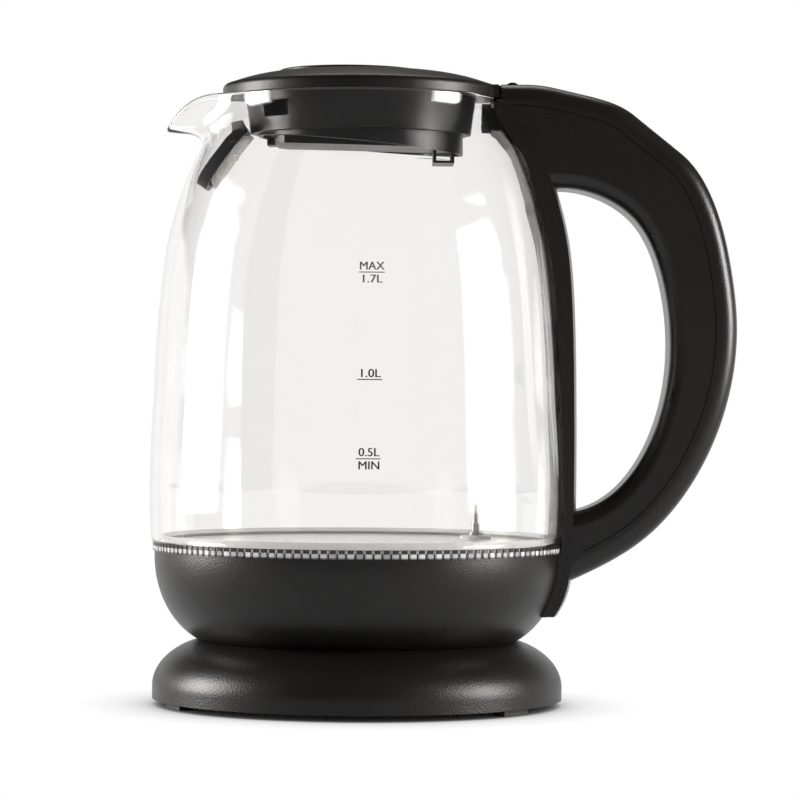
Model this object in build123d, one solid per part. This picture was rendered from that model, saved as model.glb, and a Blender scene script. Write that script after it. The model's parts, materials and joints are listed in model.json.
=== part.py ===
from build123d import *
import os
from math import cos, degrees, hypot, pi, radians, sin, sqrt

# Electric kettle on its swivel base. Lengths are in millimetres and +Z is up.
# The origin is on the floor, on the swivel axis. The handle is at +X and the spout at -X.

# Clearances
running_gap = 0.4        # between pieces that move past each other
fit_gap = 0.15           # between pieces that are pushed together and stay put
pin_gap = 0.05           # radial play of a hinge pin in its bore
bore_spare = 1.0         # a screw ends this far short of its bore

# The size that the other radii follow
shell_radius = 77.5      # the lower shell at its widest

# Base
base_radius = shell_radius + 0.6
base_rim_z = 2.3         # the cover's lower edge stands this far off the floor
base_shoulder_z = 7.0    # the wall is upright up to here, then it rounds over
base_shoulder_rise = 18.9
base_shoulder_run = 28.1
base_wall = 2.2
crest_radius = shell_radius - 16.0      # edge where the shoulder turns down into the well
well_radius = shell_radius - 19.5
well_floor_z = 19.5
base_plate_z = 1.6        # the plate stands a little proud of the rim, on the feet
base_plate_thickness = 2.4
panel_radius = shell_radius - 17.5   # middle of the plate, which is lower than its edge
panel_step = 0.4
foot_length = 15.0
foot_width = 5.0
foot_inset = 1.2         # from the plate's edge
foot_start_angle = -37.0
base_screw_circle = shell_radius - 11.5
screw_shank_radius = 1.4
screw_head_radius = 2.8
screw_head_height = 1.4
base_screw_length = 11.0
boss_wall = 2.0
gland_bore_radius = 3.3
gland_wall = 1.4
gland_length = 10.0
gland_flange_radius = 6.2
gland_flange_thickness = 1.5

# Plug tower of the base and socket of the kettle
tower_radius = 15.5
tower_top_z = 36.0
tower_flange_radius = 21.0
tower_flange_thickness = 2.0
groove_inner_radius = 6.8
groove_outer_radius = 9.6
groove_floor_z = 22.0
pin_hole_radius = 3.0
slip_ring_height = 3.4
centre_contact_height = 2.3
socket_wall = 2.4
socket_flange_width = 5.0
socket_flange_thickness = 2.0
socket_roof = 3.0
socket_pin_radius = 1.9
socket_pin_head_radius = 3.5
socket_pin_head_height = 1.5
socket_ring_wall = 1.2

# Lower shell
shell_top_z = 58.5
shell_straight = 2.0     # upright band under the shell's top edge
shell_curve_run = 27.5
shell_curve_rise = 34.6
shell_wall = 2.4
hatch_radius = shell_radius - 31.5      # opening in the shell's floor
ledge_width = 6.0
ledge_thickness = 2.2
rest_ring_radius = hatch_radius - 4.0
rest_ring_width = 4.0
hatch_cover_thickness = 2.2
hatch_screw_circle = hatch_radius - 3.0
hatch_screw_length = 4.0
lug_length = 17.0
lug_width = 10.0
lug_thickness = 3.0
lug_z = 38.0

# Heater
heater_top_z = 62.0
heater_radius = shell_radius - 4.1
heater_thickness = 1.2
spreader_radius = 46.0
spreader_thickness = 3.0
element_circle = 38.0
element_radius = 3.3
element_gap_angle = 30.0
terminal_radius = 1.5
terminal_length = 6.0
lead_radius = 1.2
lead_place = 0.8         # share of the terminal's length
control_radius = 20.0
bimetal_radius = 9.0
bimetal_thickness = 0.8
stud_circle = shell_radius - 17.5
stud_radius = 2.0
stud_start_angle = 60.0
stud_tail = 6.0
nut_across = 7.0
nut_height = 3.2
probe_x = 45.8
probe_y = 28.0
probe_seal_radius = 6.2
probe_seal_thickness = 1.5
probe_flange_radius = 2.75
probe_flange_thickness = 1.2
probe_collar_radius = 1.6
probe_collar_height = 3.3
probe_rod_radius = 0.9
probe_top_z = 75.6
probe_stem_radius = 1.5
probe_stem_tail = 1.0
probe_nut_across = 5.5
probe_nut_height = 2.4

# Clear sealing ring between shell and glass
seal_radius = shell_radius + 0.7
seal_rib_count = 150
seal_rib_depth = 0.6
seal_rib_share = 0.6     # part of the pitch that is rib
seal_base_height = 2.3
seal_seat_height = 1.0
seal_lip_height = 2.6
seal_lip_thickness = 1.7
seal_ledge_width = 4.5

# Glass jug, outer outline from the foot of the glass to the neck
glass_wall = 3.0
belly_radius = shell_radius + 2.0
belly_z = 80.0
waist_radius = belly_radius - 1.2
waist_z = 115.0
upper_radius = belly_radius - 3.5
upper_z = 154.0
shoulder_radius = belly_radius - 6.5
shoulder_z = 177.0
slope_radius = belly_radius - 11.5
slope_z = 195.0
turn_radius = belly_radius - 19.1
turn_z = 213.0
neck_radius = belly_radius - 26.5
neck_z = 224.0
rim_z = 230.2
glass_foot_inset = 0.8   # the foot of the glass is this much narrower than its belly
glass_foot_lean = 0.06

# Spout
spout_reach = neck_radius + 20.3
spout_tip_z = 218.0
spout_tip_half_width = 2.8
spout_root_x = neck_radius - 7.0
spout_root_half_width = 22.0
spout_root_floor_z = 209.0
spout_mid_x = neck_radius + 8.0
spout_mid_half_width = 13.5
spout_mid_floor_z = 215.2
spout_beak_x = neck_radius + 16.0
spout_beak_half_width = 7.0
spout_beak_floor_z = 218.2
spout_brow_x = neck_radius + 7.0
spout_brow_z = 229.6
spout_cheek_x = neck_radius + 15.4
spout_cheek_z = 225.0
spout_tip_lean = 0.3
spout_hollow_share = 0.6

# Strainer behind the spout
strainer_top_x = 9.5 - neck_radius
strainer_top_z = 219.7
strainer_bottom_x = -7.5 - neck_radius
strainer_bottom_z = 196.0
strainer_width = 30.0
strainer_bar = 2.2
strainer_depth = 4.4
strainer_corner = 11.0
mesh_sag = 5.0
mesh_thickness = 0.5
yoke_height = 5.0
yoke_depth = 5.0

# Strap down the back of the jug
strap_thickness = 4.7
strap_belly_thickness = 3.5
strap_slope_thickness = 7.2
strap_step = 2.3         # the strap's wider inner tier is this much lower
strap_half_width = 17.5
strap_foot_z = 34.4
strap_top_z = 228.5

# Handle
handle_half_width = 16.0
handle_outer_round = 6.5
handle_inner_round = 5.5
handle_wall = 3.2
cover_depth = 8.5
cover_rib_gap = 1.0      # ribs of the grip stop this far under the seam
line_points = 24
head_front_x = neck_radius + 0.3
head_top_z = 235.9
brow_x = shell_radius + 2.5
brow_z = 233.2
flat_start_x = shell_radius + 26.0
flat_start_z = 224.75
flat_end_x = shell_radius + 44.0
flat_end_z = 210.35
lower_root_z = 47.0
lower_root_slope = 0.45
palm_top_z = 196.4
palm_bottom_z = 73.7

# Places of the handle's two long curves, out from the shell's radius and up from the floor
knuckle_line = (
    (56.6, 192.1),
    (63.7, 165.4),
    (65.8, 146.0),
    (62.7, 117.3),
    (49.3, 85.2),
    (31.0, 63.8),
)
palm_line = ((17.2, 79.8), (33.0, 101.0), (40.2, 138.7), (36.3, 165.4), (26.8, 184.5), (8.5, 195.2))
handle_screw_low_z = 61.0
handle_screw_high_z = 202.0
handle_screw_length = 12.0

# Steam bush through the back of the neck
bush_z = 223.6
bush_bore_radius = 2.6
bush_wall = 1.4
bush_flange_radius = 5.4
bush_flange_thickness = 3.6

# Lid
lid_radius = neck_radius - 0.3
lid_bottom_z = 230.7
lid_rim_z = 233.6        # the rim is upright up to here
lid_shoulder_inset = 2.2
lid_shoulder_z = 235.9
lid_slope_inset = 11.7
lid_slope_z = 238.8
lid_flat_inset = 21.7    # the middle of the lid is flat
lid_flat_z = 240.4
lid_wall = 2.2
lid_tab_half_width = 16.0
lid_tab_z = 235.4
lid_back_x = neck_radius - 0.8
cap_radius = 27.0
cap_thickness = 1.1
cap_x = -4.2
cap_round = 0.7
skirt_top_radius = neck_radius - 9.1
skirt_bottom_radius = neck_radius - 11.0
skirt_bottom_z = 216.5
skirt_wall = 1.8
skirt_flange_thickness = 1.6
window_start_angle = 34.0
window_end_angle = 53.0
window_sill = 3.0
window_head = 3.0
liner_radius = skirt_bottom_radius - 6.0   # wall behind the skirt's windows
drum_radius = neck_radius - 14.0
drum_wall = 1.6
drum_front_drop = 1.0
drum_back_drop = 8.5
box_front_x = 21.0 - neck_radius
box_back_x = neck_radius - 17.5
box_half_width = 24.0
box_vent_half_width = 9.0
post_inset = 5.0
box_slot_height = 1.85
box_front_z = 211.6
box_back_z = 210.0
box_wall = 1.2
cup_length = 8.0         # cup under the tray's back end
cup_half_width = 12.0
cup_bottom_z = 204.8
nose_length = 3.4
nose_half_width = 7.0
lid_screw_circle = neck_radius - 29.0
lid_screw_length = 6.0
lid_screw_angle = 45.0

# Lid hinge
hinge_x = neck_radius + 4.5
hinge_z = 233.5
hinge_pin_radius = 1.5
hinge_pin_half_length = 12.4
knuckle_radius = 3.2
knuckle_outer_y = 10.1
knuckle_inner_y = 5.5
hinge_slot_depth = 5.6   # behind the pin's axis
hinge_slot_floor_z = 229.8
knuckle_plate_z = 231.6
knuckle_plate_rise = 2.0
spring_coil_radius = 2.5
spring_wire_radius = 0.35
lid_spring_pitch = 1.6
lid_spring_turns = 5
lid_spring_leg = 3.0

# Release button and latch, placed along the thumb flat and out of it
button_length = 22.0
button_half_width = 9.0
button_height = 6.5
button_travel = 3.0
button_foot_left = -10.5
button_foot_right = -3.5
button_foot_half_width = 4.0
button_foot_drop = 6.0
button_foot_slope = 4.0      # the foot's corner is cut off this far at 45 degrees
button_spring_offset = 5.5
button_spring_radius = 3.2
button_spring_room = 7.0
button_spring_turns = 4
shelf_thickness = 3.0
shelf_length = 8.0
latch_half_width = 3.0
latch_height = 3.0
latch_nose_half_width = 9.5
latch_nose_length = 3.0
latch_hinge_gap = 0.8        # between the latch's nose and the lid's knuckles
latch_end = -2.5
wedge_top = -10.6
guide_place = -25.0
guide_thickness = 2.6

# Power switch
switch_z = 41.6
switch_half_width = 9.0
switch_half_height = 4.0
switch_pivot_depth = 2.6     # pivot under the strap's outer face
switch_pin_radius = 0.9
switch_barrel_radius = 1.7
switch_arm_half_width = 2.0
switch_arm_height = 2.6
switch_arm_end_x = 27.0
switch_swing = 8.0
switch_gap = 0.8
switch_pin_seat = 4.0    # length of the pin in the strap at each end

# Places that follow from the sizes above
upright = (Align.CENTER, Align.CENTER, Align.MIN)
quarter_turn = 90
base_top_z = base_shoulder_z + base_shoulder_rise
shell_floor_z = shell_top_z - shell_straight - shell_curve_rise
shell_bend_z = shell_top_z - shell_straight
plate_top_z = base_plate_z + base_plate_thickness
socket_radius = tower_radius + 2 * running_gap
socket_roof_z = tower_top_z + 2 * running_gap
socket_top_z = socket_roof_z + socket_roof
heater_bottom_z = heater_top_z - heater_thickness
spreader_bottom_z = heater_bottom_z - spreader_thickness
element_z = spreader_bottom_z - element_radius
control_top_z = spreader_bottom_z - bimetal_thickness
hatch_top_z = shell_floor_z + hatch_cover_thickness
glass_foot_z = shell_top_z + seal_base_height + seal_seat_height
glass_foot_radius = belly_radius - glass_foot_inset
flat_length = hypot(flat_end_x - flat_start_x, flat_end_z - flat_start_z)
flat_along = Vector((flat_end_x - flat_start_x) / flat_length, 0, (flat_end_z - flat_start_z) / flat_length)
flat_out = Vector(-flat_along.Z, 0, flat_along.X)
flat_middle = Vector((flat_start_x + flat_end_x) / 2, 0, (flat_start_z + flat_end_z) / 2)
thumb_plane = Plane(flat_middle, x_dir=flat_along, z_dir=flat_out)
far = 6 * shell_radius    # longer than the object in every direction


def flat_point(x, z):
    """A point of the kettle's middle plane."""
    return (x, 0, z)


def outline(*points):
    """A straight-sided face in the middle plane."""
    return make_face(Polyline(*[flat_point(x, z) for x, z in points], close=True))


def turned(*points):
    """A straight-sided outline of radius and height, turned about the swivel axis."""
    return revolve(outline(*points), Axis.Z)


def turned_face(*edges):
    """A face of several edges, turned about the swivel axis."""
    return revolve(make_face(edges), Axis.Z)


def ring(outer, inner, bottom, top):
    """A plain ring about the swivel axis."""
    return turned((inner, bottom), (outer, bottom), (outer, top), (inner, top))


def disc(radius, bottom, top, x=0.0, y=0.0):
    """An upright cylinder."""
    return Pos(x, y, bottom) * Cylinder(radius, top - bottom, align=upright)


def block(x0, x1, half_width, z0, z1):
    """A box that is symmetric about the middle plane."""
    return Pos((x0 + x1) / 2, 0, (z0 + z1) / 2) * Box(x1 - x0, 2 * half_width, z1 - z0)


def across(face, half_width):
    """A face of the middle plane, drawn out to both sides."""
    return extrude(face, half_width, dir=(0, 1, 0), both=True)


def rod(x, z, radius, y0, y1):
    """A cylinder along the Y axis."""
    return Pos(x, (y0 + y1) / 2, z) * Rot(90, 0, 0) * Cylinder(radius, y1 - y0)


def around(piece, count, start):
    """Copies of a piece spread evenly about the swivel axis."""
    return [Rot(0, 0, start + 360 * i / count) * piece for i in range(count)]


def quarter_curve(centre, run, rise, angle):
    """A quarter of an ellipse in the middle plane, from its outermost point."""
    curve = EllipticalCenterArc((0, 0), run, rise, start_angle=min(angle, 0), arc_size=quarter_turn)
    return Plane(flat_point(*centre), x_dir=(1, 0, 0), z_dir=(0, -1, 0)) * curve


def biarc(start, start_way, end, end_way):
    """Two tangent arcs from one point to another with a given direction at each."""
    chord = end - start
    ways = start_way + end_way
    spread = 2 * (1 - start_way.dot(end_way))
    reach = (sqrt(chord.dot(ways) ** 2 + spread * chord.dot(chord)) - chord.dot(ways)) / spread
    first = start + start_way * reach
    second = end - end_way * reach
    middle = (first + second) * 0.5
    return [
        TangentArc(start, middle, tangent=start_way),
        TangentArc(middle, end, tangent=(second - first).normalized()),
    ]


def coil(radius, pitch, turns, wire, leg, name):
    """A wire coil up the Z axis, on biarcs of a quarter turn, with a straight leg at each end."""

    def place(turn):
        return Vector(radius * cos(2 * pi * turn), radius * sin(2 * pi * turn), pitch * turn)

    def way(turn):
        return Vector(
            -2 * pi * radius * sin(2 * pi * turn), 2 * pi * radius * cos(2 * pi * turn), pitch
        ).normalized()

    stops = [i / 4 for i in range(4 * turns + 1)]
    edges = [Line(place(0) - way(0) * leg, place(0))]
    for a, b in zip(stops, stops[1:]):
        edges += biarc(place(a), way(a), place(b), way(b))
    edges.append(Line(place(turns), place(turns) + way(turns) * leg))
    steps = [i / 48 for i in range(48 * turns + 1)]
    gap = min(
        (place(a) - place(b)).length - 2 * wire
        for a in steps
        for b in steps
        if b - a > 0.5
    )
    print(name, "least gap between turns", round(gap, 3))
    path = Wire(edges)
    section = Plane(path @ 0, z_dir=path % 0) * Circle(wire)
    return sweep(section, path=path)


def screw(shank_radius, head_radius, head_height, length):
    """A screw that points up, with its head's seat at height 0."""
    return disc(head_radius, -head_height, 0) + disc(shank_radius, 0, length)


def hex_nut(across_flats, bore, height):
    """A hexagon nut with its foot at height 0."""
    body = extrude(RegularPolygon(across_flats / 2, 6, major_radius=False), height)
    return body - disc(bore, 0, height)


# Base


def shoulder_solid(inset):
    """The base's rounded drum, drawn in by a wall."""
    radius = base_radius - inset
    run = base_shoulder_run - inset
    rise = base_shoulder_rise - inset
    centre = base_radius - base_shoulder_run
    return turned_face(
        Line(flat_point(0, base_rim_z), flat_point(radius, base_rim_z)),
        Line(flat_point(radius, base_rim_z), flat_point(radius, base_shoulder_z)),
        quarter_curve((centre, base_shoulder_z), run, rise, 0),
        Line(flat_point(centre, base_shoulder_z + rise), flat_point(0, base_shoulder_z + rise)),
        Line(flat_point(0, base_shoulder_z + rise), flat_point(0, base_rim_z)),
    )


def well_solid(growth):
    """The hollow that the kettle stands in, grown outwards by a wall."""
    return turned(
        (0, well_floor_z - growth),
        (well_radius + growth, well_floor_z - growth),
        (crest_radius + growth, base_top_z),
        (0, base_top_z),
    )


def gland_solid(radius, y0, y1):
    """A cylinder along the cord's way out of the base."""
    return rod(0, gland_z, radius, y0, y1)


gland_z = plate_top_z + gland_bore_radius + gland_wall + fit_gap
gland_radius = gland_bore_radius + gland_wall
boss_radius = screw_shank_radius + boss_wall
base_screw_angle = foot_start_angle + 60


def make_base_cover():
    hollow = shoulder_solid(base_wall) - well_solid(base_wall)
    cover = shoulder_solid(0) - hollow - well_solid(0)
    boss = disc(boss_radius, plate_top_z, base_top_z, base_screw_circle)
    bore_top = plate_top_z + base_screw_length
    bore = disc(screw_shank_radius + pin_gap, plate_top_z, bore_top, base_screw_circle)
    for one in around(boss, 3, base_screw_angle):
        cover += one & shoulder_solid(0) - well_solid(0)
    for one in around(bore, 3, base_screw_angle):
        cover -= one
    cover -= disc(tower_radius + fit_gap, 0, base_top_z)
    return cover - gland_solid(gland_radius + fit_gap, 0, base_radius)


def make_base_plate():
    plate = disc(base_radius - base_wall - fit_gap, base_plate_z + panel_step, plate_top_z)
    plate += disc(panel_radius, base_plate_z, plate_top_z)
    hole = disc(screw_shank_radius + fit_gap, 0, plate_top_z, base_screw_circle)
    recess = disc(screw_head_radius + fit_gap, 0, base_plate_z + screw_head_height, base_screw_circle)
    for one in around(hole + recess, 3, base_screw_angle):
        plate -= one
    return plate


def make_base_feet():
    outer = base_radius - base_wall - foot_inset
    width = degrees(foot_length / outer)
    inner = outer - foot_width
    top = base_plate_z + panel_step
    pad = revolve(outline((inner, 0), (outer, 0), (outer, top), (inner, top)), Axis.Z, width)
    return around(pad, 3, foot_start_angle - width / 2)


def make_base_screws():
    one = Pos(base_screw_circle, 0, base_plate_z + screw_head_height) * screw(
        screw_shank_radius, screw_head_radius, screw_head_height, base_screw_length - bore_spare
    )
    return around(one, 3, base_screw_angle)


def make_cord_gland():
    flange = gland_solid(gland_flange_radius, base_radius, base_radius + gland_flange_thickness)
    body = gland_solid(gland_radius, base_radius - gland_length, base_radius)
    return flange + body - gland_solid(gland_bore_radius, 0, far)


def make_connector_tower():
    flange_top = well_floor_z - base_wall
    tower = disc(tower_radius, flange_top, tower_top_z)
    tower += disc(tower_flange_radius, flange_top - tower_flange_thickness, flange_top)
    tower -= ring(groove_outer_radius, groove_inner_radius, groove_floor_z, tower_top_z)
    return tower - disc(pin_hole_radius, groove_floor_z, tower_top_z)


def make_centre_contact():
    return disc(pin_hole_radius - fit_gap, groove_floor_z, groove_floor_z + centre_contact_height)


def make_slip_ring():
    return ring(
        groove_outer_radius - running_gap,
        groove_inner_radius + running_gap,
        groove_floor_z,
        groove_floor_z + slip_ring_height,
    )


# Kettle, below the glass


def bowl_solid(inset, top):
    """The lower shell's rounded bowl, drawn in by a wall."""
    radius = shell_radius - inset
    centre = shell_radius - shell_curve_run
    floor = shell_floor_z + inset
    return turned_face(
        Line(flat_point(0, floor), flat_point(centre, floor)),
        quarter_curve((centre, shell_bend_z), shell_curve_run - inset, shell_curve_rise - inset, -90),
        Line(flat_point(radius, shell_bend_z), flat_point(radius, top)),
        Line(flat_point(radius, top), flat_point(0, top)),
        Line(flat_point(0, top), flat_point(0, floor)),
    )


def shell_radius_at(z):
    """The lower shell's outer radius at a height."""
    drop = max(shell_bend_z - z, 0) / shell_curve_rise
    return shell_radius - shell_curve_run * (1 - sqrt(1 - drop * drop))


def make_lower_shell():
    shell = bowl_solid(0, shell_top_z) - bowl_solid(shell_wall, shell_top_z)
    shell -= disc(hatch_radius, shell_floor_z, hatch_top_z + ledge_thickness)
    ledge_top = hatch_top_z + ledge_thickness
    shell += ring(hatch_radius + ledge_width / 2, hatch_radius - ledge_width, hatch_top_z, ledge_top)
    bore = disc(screw_shank_radius + pin_gap, 0, hatch_top_z + ledge_thickness, hatch_screw_circle)
    for one in around(bore, 3, 0):
        shell -= one
    outwards = (Align.MIN, Align.CENTER, Align.MIN)
    lug = Box(lug_length, lug_width, lug_thickness, align=outwards)
    lug = Pos(stud_circle - lug_width / 2, 0, lug_z) * lug
    hole = disc(stud_radius + fit_gap, 0, heater_bottom_z, stud_circle)
    for one in around(lug - hole, 3, stud_start_angle):
        shell += one & bowl_solid(0, shell_top_z)
    slot_half = switch_arm_height / 2 + switch_gap + lever_sweep
    return shell - block(
        control_radius, far, switch_arm_half_width + switch_gap, switch_z - slot_half, switch_z + slot_half
    )


def make_hatch_cover():
    cover = disc(hatch_radius - fit_gap, shell_floor_z, hatch_top_z)
    cover += ring(rest_ring_radius, rest_ring_radius - rest_ring_width, well_floor_z, shell_floor_z)
    cover -= disc(socket_radius + socket_wall + fit_gap, 0, hatch_top_z)
    hole = disc(screw_shank_radius + fit_gap, 0, hatch_top_z, hatch_screw_circle)
    recess = disc(screw_head_radius + fit_gap, 0, shell_floor_z + screw_head_height, hatch_screw_circle)
    for one in around(hole + recess, 3, 0):
        cover -= one
    return cover


def make_hatch_screws():
    one = Pos(hatch_screw_circle, 0, shell_floor_z + screw_head_height) * screw(
        screw_shank_radius, screw_head_radius, screw_head_height, hatch_screw_length - bore_spare
    )
    return around(one, 3, 0)


def make_socket():
    outer = socket_radius + socket_wall
    body = disc(outer, shell_floor_z, socket_top_z)
    body += disc(outer + socket_flange_width, hatch_top_z, hatch_top_z + socket_flange_thickness)
    body -= disc(socket_radius, 0, socket_roof_z)
    return body - disc(socket_pin_radius + pin_gap, 0, socket_top_z)


def make_socket_pin():
    bottom = groove_floor_z + centre_contact_height + running_gap
    pin = disc(socket_pin_radius, bottom, socket_top_z)
    return pin + disc(socket_pin_head_radius, socket_top_z, socket_top_z + socket_pin_head_height)


def make_socket_ring():
    middle = (groove_inner_radius + groove_outer_radius) / 2
    bottom = groove_floor_z + slip_ring_height + running_gap
    return ring(middle + socket_ring_wall / 2, middle - socket_ring_wall / 2, bottom, socket_roof_z)


def make_control_unit():
    body = disc(control_radius, socket_top_z, control_top_z)
    head_top = socket_top_z + socket_pin_head_height
    return body - disc(socket_pin_head_radius + running_gap, 0, head_top + running_gap)


def make_bimetal_disc():
    return disc(bimetal_radius, control_top_z, spreader_bottom_z)


def make_heater_plate():
    plate = disc(heater_radius, heater_bottom_z, heater_top_z)
    return plate - disc(probe_stem_radius + fit_gap, 0, heater_top_z, probe_x, probe_y)


def make_heat_spreader():
    return disc(spreader_radius, spreader_bottom_z, heater_bottom_z)


def make_heater_tube():
    start = 180 + element_gap_angle / 2
    section = Pos(element_circle, 0, element_z) * Rot(90, 0, 0) * Circle(element_radius)
    return Rot(0, 0, start) * revolve(section, Axis.Z, 360 - element_gap_angle)


def make_element_terminals():
    half = radians(element_gap_angle / 2)
    way = Vector(sin(half), cos(half), 0)
    pins = []
    for side in (1, -1):
        end = Vector(-element_circle * cos(half), -side * element_circle * sin(half), element_z)
        plane = Plane(end, z_dir=Vector(-way.X, side * way.Y, 0))
        pins.append(extrude(plane * Circle(terminal_radius), terminal_length))
    return pins


def make_element_leads():
    half = radians(element_gap_angle / 2)
    y = element_circle * sin(half) - lead_place * terminal_length * cos(half)
    x0 = -element_circle * cos(half) + terminal_radius
    x1 = -sqrt(control_radius**2 - (y + lead_radius) ** 2)
    lead = Pos((x0 + x1) / 2, 0, element_z) * Rot(0, 90, 0) * Cylinder(lead_radius, x1 - x0)
    unit_room = disc(control_radius, 0, far)
    return [Pos(0, side * y, 0) * lead - unit_room for side in (1, -1)]


def make_plate_studs():
    stud = disc(stud_radius, lug_z - stud_tail, heater_bottom_z, stud_circle)
    return around(stud, 3, stud_start_angle)


def make_stud_nuts():
    nut = Pos(stud_circle, 0, lug_z - nut_height) * hex_nut(nut_across, stud_radius + pin_gap, nut_height)
    return around(nut, 3, stud_start_angle)


def make_probe_seal():
    seal = disc(probe_seal_radius, heater_top_z, heater_top_z + probe_seal_thickness, probe_x, probe_y)
    return seal - disc(probe_stem_radius + pin_gap, 0, far, probe_x, probe_y)


def make_temperature_probe():
    flange_z = heater_top_z + probe_seal_thickness
    collar_z = flange_z + probe_flange_thickness
    rod_z = collar_z + probe_collar_height
    probe = disc(probe_stem_radius, heater_bottom_z - probe_nut_height - probe_stem_tail, flange_z)
    probe += disc(probe_flange_radius, flange_z, collar_z)
    probe += disc(probe_collar_radius, collar_z, rod_z)
    probe += disc(probe_rod_radius, rod_z, probe_top_z)
    return Pos(probe_x, probe_y, 0) * probe


def make_probe_nut():
    nut = hex_nut(probe_nut_across, probe_stem_radius + pin_gap, probe_nut_height)
    return Pos(probe_x, probe_y, heater_bottom_z - probe_nut_height) * nut


def make_seal_ring():
    """The clear ring: a ribbed rim under the glass, a ledge under the plate and a lip between them."""
    base_top = shell_top_z + seal_base_height
    seat_top = base_top + seal_seat_height
    lip_inner = heater_radius + fit_gap
    lip_outer = lip_inner + seal_lip_thickness
    pitch = 2 * pi / seal_rib_count
    half_rib = seal_rib_share * pitch / 2
    root = seal_radius - seal_rib_depth
    teeth = []
    for i in range(seal_rib_count):
        a = i * pitch
        for side in (-half_rib, half_rib):
            low = (root * cos(a + side), root * sin(a + side))
            high = (seal_radius * cos(a + side), seal_radius * sin(a + side))
            teeth += [low, high] if side < 0 else [high, low]
    rim = extrude(Pos(0, 0, shell_top_z) * make_face(Polyline(*teeth, close=True)), seat_top - shell_top_z)
    body = rim - disc(lip_inner - seal_ledge_width, shell_top_z, seat_top)
    body -= disc(lip_inner, base_top, seat_top)
    return body + ring(lip_outer, lip_inner, base_top, seat_top + seal_lip_height)


# Glass jug


def jug_outline(growth):
    """The glass's outer outline from its foot to the rim, moved outwards."""
    curve = Spline(
        flat_point(glass_foot_radius + growth, glass_foot_z),
        flat_point(belly_radius + growth, belly_z),
        flat_point(waist_radius + growth, waist_z),
        flat_point(upper_radius + growth, upper_z),
        flat_point(shoulder_radius + growth, shoulder_z),
        flat_point(slope_radius + growth, slope_z),
        flat_point(turn_radius + growth, turn_z),
        flat_point(neck_radius + growth, neck_z),
        tangents=[(glass_foot_lean, 0, 1), (0, 0, 1)],
    )
    return curve, Line(flat_point(neck_radius + growth, neck_z), flat_point(neck_radius + growth, rim_z))


def jug_solid(growth):
    """Everything inside an outline of the glass."""
    curve, neck = jug_outline(growth)
    return turned_face(
        Line(flat_point(0, glass_foot_z), flat_point(glass_foot_radius + growth, glass_foot_z)),
        curve,
        neck,
        Line(flat_point(neck_radius + growth, rim_z), flat_point(0, rim_z)),
        Line(flat_point(0, rim_z), flat_point(0, glass_foot_z)),
    )


def jug_radius_at(z):
    """The glass's outer radius at a height."""
    curve, neck = jug_outline(0)
    if z >= neck_z:
        return neck_radius
    low, high = 0.0, 1.0
    for _ in range(40):
        middle = (low + high) / 2
        if (curve @ middle).Z < z:
            low = middle
        else:
            high = middle
    return (curve @ low).X


def spout_solid(inset):
    """The spout's beak as a loft of ellipses that hang from the rim's height, drawn in by a wall."""
    stations = (
        (spout_root_x, spout_root_half_width, spout_root_floor_z),
        (spout_mid_x, spout_mid_half_width, spout_mid_floor_z),
        (spout_beak_x, spout_beak_half_width, spout_beak_floor_z),
        (spout_reach, spout_tip_half_width, spout_tip_z),
    )
    sections = []
    for x, half_width, floor in stations:
        plane = Plane((-x, 0, rim_z), x_dir=(0, 1, 0), z_dir=(-1, 0, 0))
        thin = min(inset, spout_hollow_share * half_width)
        sections.append(plane * Ellipse(half_width - thin, rim_z - floor - inset))
    return loft(sections)


def above_spout():
    """The space above the spout's edge, which falls from the rim to the tip."""
    edge = Spline(
        flat_point(-neck_radius, rim_z),
        flat_point(-spout_brow_x, spout_brow_z),
        flat_point(-spout_cheek_x, spout_cheek_z),
        flat_point(-spout_reach, spout_tip_z),
        tangents=[(-1, 0, 0), (-spout_tip_lean, 0, -1)],
    )
    sides = Polyline(
        flat_point(-spout_reach, spout_tip_z),
        flat_point(-far, spout_tip_z),
        flat_point(-far, far),
        flat_point(0, far),
        flat_point(0, rim_z),
        flat_point(-neck_radius, rim_z),
    )
    return across(make_face([edge, sides]), far)


def make_glass_jug():
    outer = jug_solid(0) + (spout_solid(0) - above_spout())
    glass = outer - jug_solid(-glass_wall) - spout_solid(glass_wall)
    return glass - bush_solid(bush_shank_radius + fit_gap, 0, far)


# Strainer

bush_shank_radius = bush_bore_radius + bush_wall
strainer_run = Vector(strainer_bottom_x - strainer_top_x, 0, strainer_bottom_z - strainer_top_z)
strainer_length = strainer_run.length
strainer_down = strainer_run.normalized()
strainer_out = Vector(strainer_down.Z, 0, -strainer_down.X)
lid_sweep_radius = hypot(hinge_x + skirt_bottom_radius, hinge_z - skirt_bottom_z) - hinge_x + running_gap
strainer_plane = Plane(
    ((strainer_top_x + strainer_bottom_x) / 2, 0, (strainer_top_z + strainer_bottom_z) / 2),
    x_dir=(0, 1, 0),
    z_dir=strainer_out,
)


def make_strainer_frame():
    loop = RectangleRounded(strainer_width, strainer_length, strainer_corner)
    hole = RectangleRounded(
        strainer_width - 2 * strainer_bar, strainer_length - 2 * strainer_bar, strainer_corner - strainer_bar
    )
    frame = extrude(strainer_plane * (loop - hole), strainer_depth / 2, both=True)
    inner = neck_radius - glass_wall
    yoke_bottom = strainer_top_z - yoke_height / 2
    yoke = block(strainer_top_x - yoke_depth, strainer_top_x, inner, yoke_bottom, strainer_top_z)
    yoke &= disc(inner - fit_gap, 0, far)
    window = extrude(strainer_plane * hole, far, both=True)
    return frame + (yoke - window) - disc(lid_sweep_radius, 0, far)


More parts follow.
